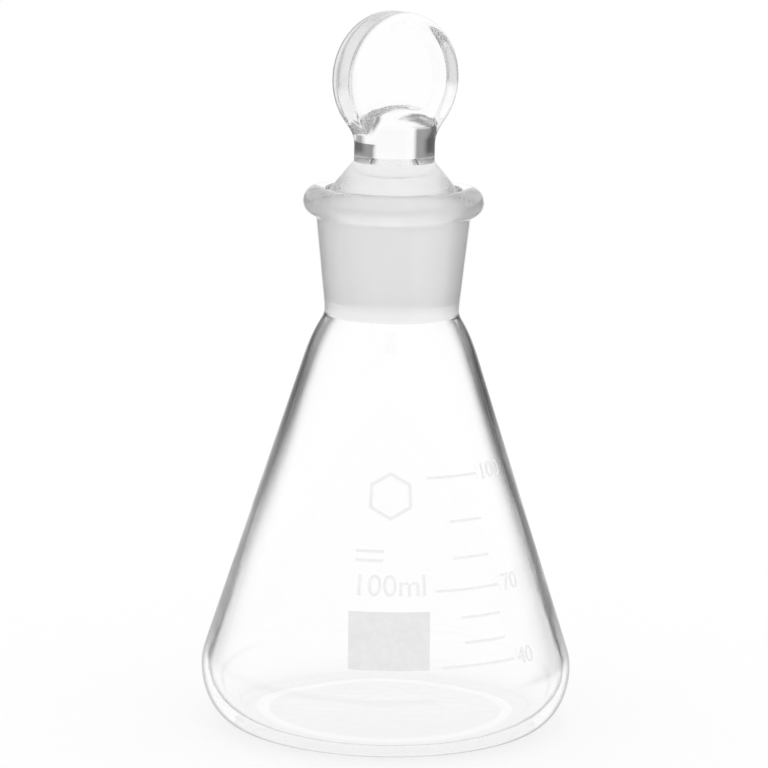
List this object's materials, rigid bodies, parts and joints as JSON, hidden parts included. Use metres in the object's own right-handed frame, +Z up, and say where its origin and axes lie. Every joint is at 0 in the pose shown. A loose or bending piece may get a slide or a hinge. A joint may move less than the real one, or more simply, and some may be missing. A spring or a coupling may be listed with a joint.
{
  "type": "erlenmeyer flask",
  "caption": "Conical laboratory flask for 100 ml with a ground socket neck, a beaded rim, an enamel scale and writing patch, and a ground penny-head stopper.",
  "frame": {"origin": "centre of the base, on the plane that the flask stands on", "axes": "+Z up along the flask's axis, -Y towards the front with the writing patch, +X towards the scale"},
  "size_m": [0.066, 0.066, 0.1268],
  "materials": {
    "clear_glass": "smooth clear borosilicate glass, fire polished",
    "ground_socket_glass": "clear glass outside with a fine-ground, frosted taper inside",
    "stopper_glass": "clear pressed glass head with a fine-ground, frosted plug",
    "white_enamel": "thin white ceramic enamel fired on the glass, satin"
  },
  "bodies": {
    "flask": {"flask_body": "clear_glass", "socket_neck": "ground_socket_glass", "capacity_1": "white_enamel", "capacity_2": "white_enamel", "capacity_3": "white_enamel", "capacity_4": "white_enamel", "capacity_5": "white_enamel", "hexagon": "white_enamel", "number_100ml_1": "white_enamel", "number_100ml_2": "white_enamel", "number_100ml_3": "white_enamel", "number_40ml_1": "white_enamel", "number_40ml_2": "white_enamel", "number_70ml_1": "white_enamel", "number_70ml_2": "white_enamel", "plain_bar_1": "white_enamel", "plain_bar_2": "white_enamel", "scale_line_100ml": "white_enamel", "scale_line_40ml": "white_enamel", "scale_line_50ml": "white_enamel", "scale_line_60ml": "white_enamel", "scale_line_70ml": "white_enamel", "scale_line_80ml": "white_enamel", "scale_line_90ml": "white_enamel", "writing_patch": "white_enamel"},
    "stopper": {"stopper": "stopper_glass"}
  },
  "joints": [
    {"name": "stopper_lift", "type": "slide", "parent": "flask", "child": "stopper", "axis": [0, 0, 1], "range_m": [0, 0.06]}
  ]
}
